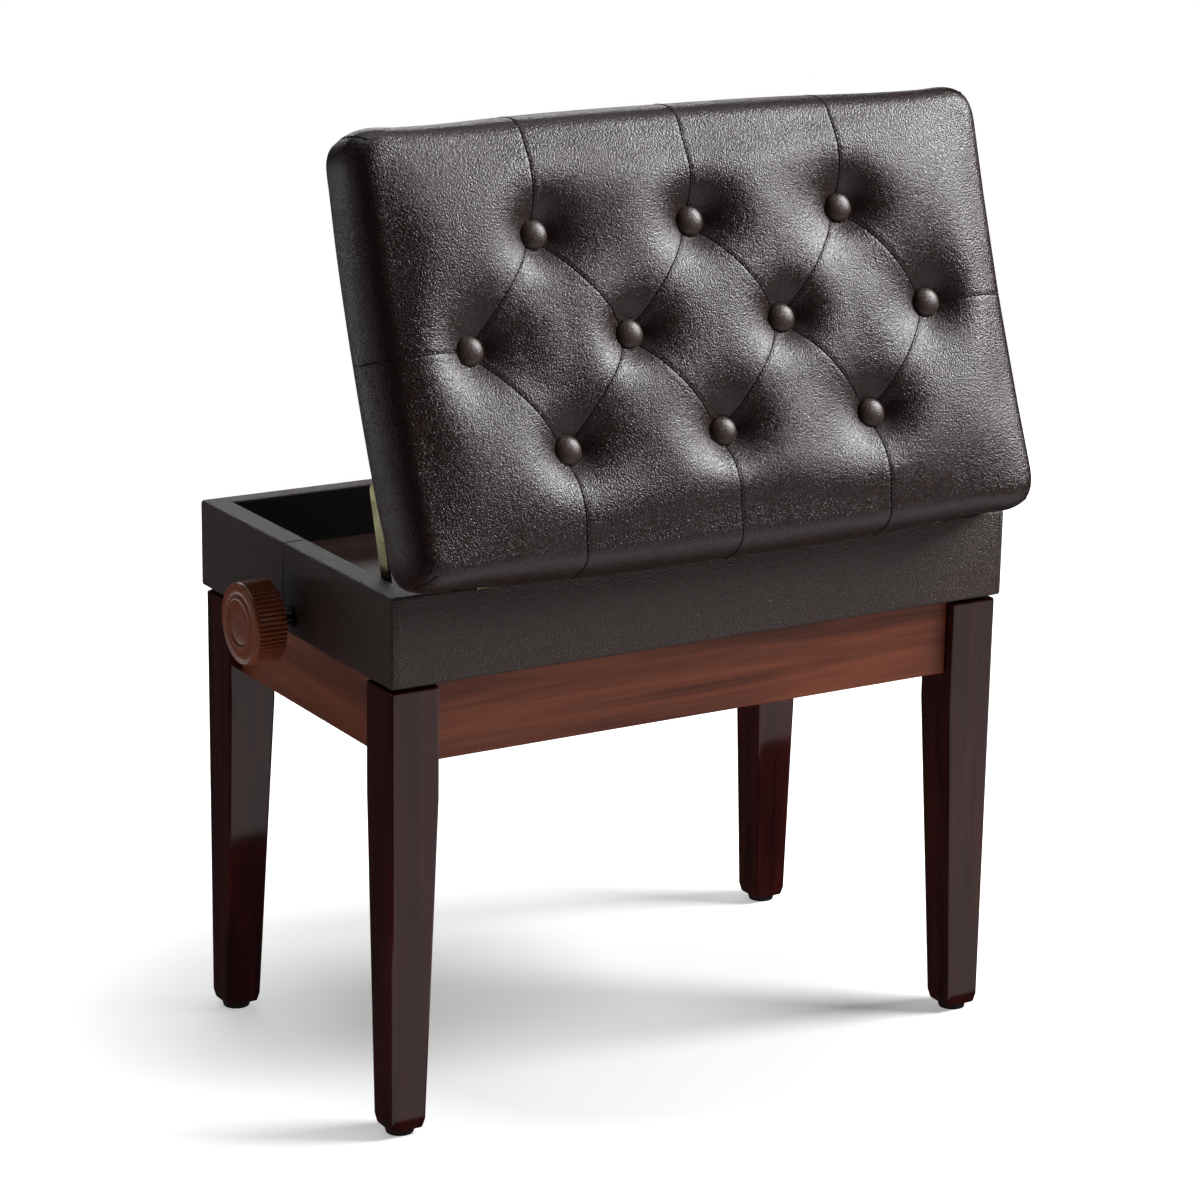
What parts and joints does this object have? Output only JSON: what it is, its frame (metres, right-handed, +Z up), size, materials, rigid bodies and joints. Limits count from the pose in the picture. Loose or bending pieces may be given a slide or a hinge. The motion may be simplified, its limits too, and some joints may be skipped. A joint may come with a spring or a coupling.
{
  "type": "piano bench",
  "caption": "Piano bench with buttoned leather seat lid on hinges, storage tray, and a knob-driven screw scissor that raises the seat above tapered wooden legs.",
  "frame": {"origin": "on the floor, under the middle of the whole bench with its lid open", "axes": "+X along the bench, towards the right knob; -Y is the long side with the hinges; +Z up"},
  "size_m": [0.64, 0.3782, 0.7611],
  "materials": {
    "leg_lacquer": "high-gloss dark espresso lacquer",
    "apron_wood": "satin reddish-brown woodgrain",
    "leather": "soft-gloss pebbled dark brown leather",
    "board": "matte dark stained plywood",
    "knob_plastic": "glossy moulded reddish brown",
    "zinc": "yellow zinc-plated steel",
    "steel": "plain zinc-plated steel bar",
    "glide": "matte black"
  },
  "bodies": {
    "leg_frame": {"leg_front_left": "leg_lacquer", "leg_front_right": "leg_lacquer", "leg_back_left": "leg_lacquer", "leg_back_right": "leg_lacquer", "glide_front_left": "glide", "glide_front_right": "glide", "glide_back_left": "glide", "glide_back_right": "glide", "corner_bracket_front_left": "steel", "corner_bracket_front_right": "steel", "corner_bracket_back_left": "steel", "corner_bracket_back_right": "steel", "apron_front": "apron_wood", "apron_back": "apron_wood", "apron_left": "apron_wood", "apron_right": "apron_wood", "lower_rail_front": "steel", "lower_rail_back": "steel", "lower_pivot_shaft": "steel"},
    "seat_box": {"box_panel_front": "leather", "box_panel_back": "leather", "box_panel_left": "leather", "box_panel_right": "leather", "tray_floor": "board", "upper_rail_front": "steel", "upper_rail_back": "steel", "upper_pivot_shaft": "steel", "hinge_box_leaf_left": "zinc", "hinge_box_leaf_right": "zinc", "hinge_pin_left": "zinc", "hinge_pin_right": "zinc", "stay_wall_bracket": "zinc"},
    "lid": {"lid_board": "board", "lid_cushion": "leather", "button_1": "leather", "button_2": "leather", "button_3": "leather", "button_4": "leather", "button_5": "leather", "button_6": "leather", "button_7": "leather", "button_8": "leather", "button_9": "leather", "button_10": "leather", "hinge_lid_leaf_left": "zinc", "hinge_lid_leaf_right": "zinc", "stay_lid_bracket": "zinc"},
    "rising_arms": {"rising_arm_front": "steel", "rising_arm_back": "steel", "centre_pivot_shaft": "steel"},
    "falling_arms": {"falling_arm_front": "steel", "falling_arm_back": "steel", "lower_slide_shaft": "steel"},
    "trunnion": {"drive_nut": "steel"},
    "drive_screw": {"drive_screw_rod": "steel", "knob_left": "knob_plastic", "knob_right": "knob_plastic"},
    "stay_lower": {"stay_lower_arm": "zinc"},
    "stay_upper": {"stay_upper_arm": "zinc"}
  },
  "joints": [
    {"name": "seat_lift", "type": "slide", "parent": "leg_frame", "child": "seat_box", "axis": [0, 0, 1], "range_m": [0, 0.1]},
    {"name": "lid_hinge", "type": "hinge", "parent": "seat_box", "child": "lid", "pos_m": [0, -0.13926, 0.4277], "axis": [1, 0, 0], "range_deg": [-70.4, 0]},
    {"name": "rising_arm_pivot", "type": "hinge", "parent": "leg_frame", "child": "rising_arms", "pos_m": [-0.15, 0.02664, 0.325], "axis": [0, 1, 0], "range_deg": [-20.6, 0.5]},
    {"name": "falling_arm_pivot", "type": "hinge", "parent": "seat_box", "child": "falling_arms", "pos_m": [-0.15, 0.02664, 0.362], "axis": [0, 1, 0], "range_deg": [-0.5, 20.6]},
    {"name": "nut_travel", "type": "slide", "parent": "seat_box", "child": "trunnion", "axis": [1, 0, 0], "range_m": [-0.029, 0.0005]},
    {"name": "screw_turn", "type": "hinge", "parent": "seat_box", "child": "drive_screw", "pos_m": [0, 0.02664, 0.371], "axis": [1, 0, 0], "range_deg": [-10, 2600]},
    {"name": "stay_lower_pivot", "type": "hinge", "parent": "seat_box", "child": "stay_lower", "pos_m": [0, -0.08826, 0.4037], "axis": [1, 0, 0], "range_deg": [-76.5, 1]},
    {"name": "stay_elbow", "type": "hinge", "parent": "stay_lower", "child": "stay_upper", "pos_m": [0, -0.06423, 0.48617], "axis": [1, 0, 0], "range_deg": [-1, 92]}
  ],
  "couplings": [
    {"joint": "rising_arm_pivot", "follows": "seat_lift", "rad_per_m": -3.506},
    {"joint": "falling_arm_pivot", "follows": "seat_lift", "rad_per_m": 3.506},
    {"joint": "nut_travel", "follows": "seat_lift", "ratio": -0.285},
    {"joint": "screw_turn", "follows": "seat_lift", "rad_per_m": 447.68},
    {"joint": "stay_lower_pivot", "follows": "lid_hinge", "ratio": 1.0721},
    {"joint": "stay_elbow", "follows": "lid_hinge", "ratio": -1.2941}
  ]
}
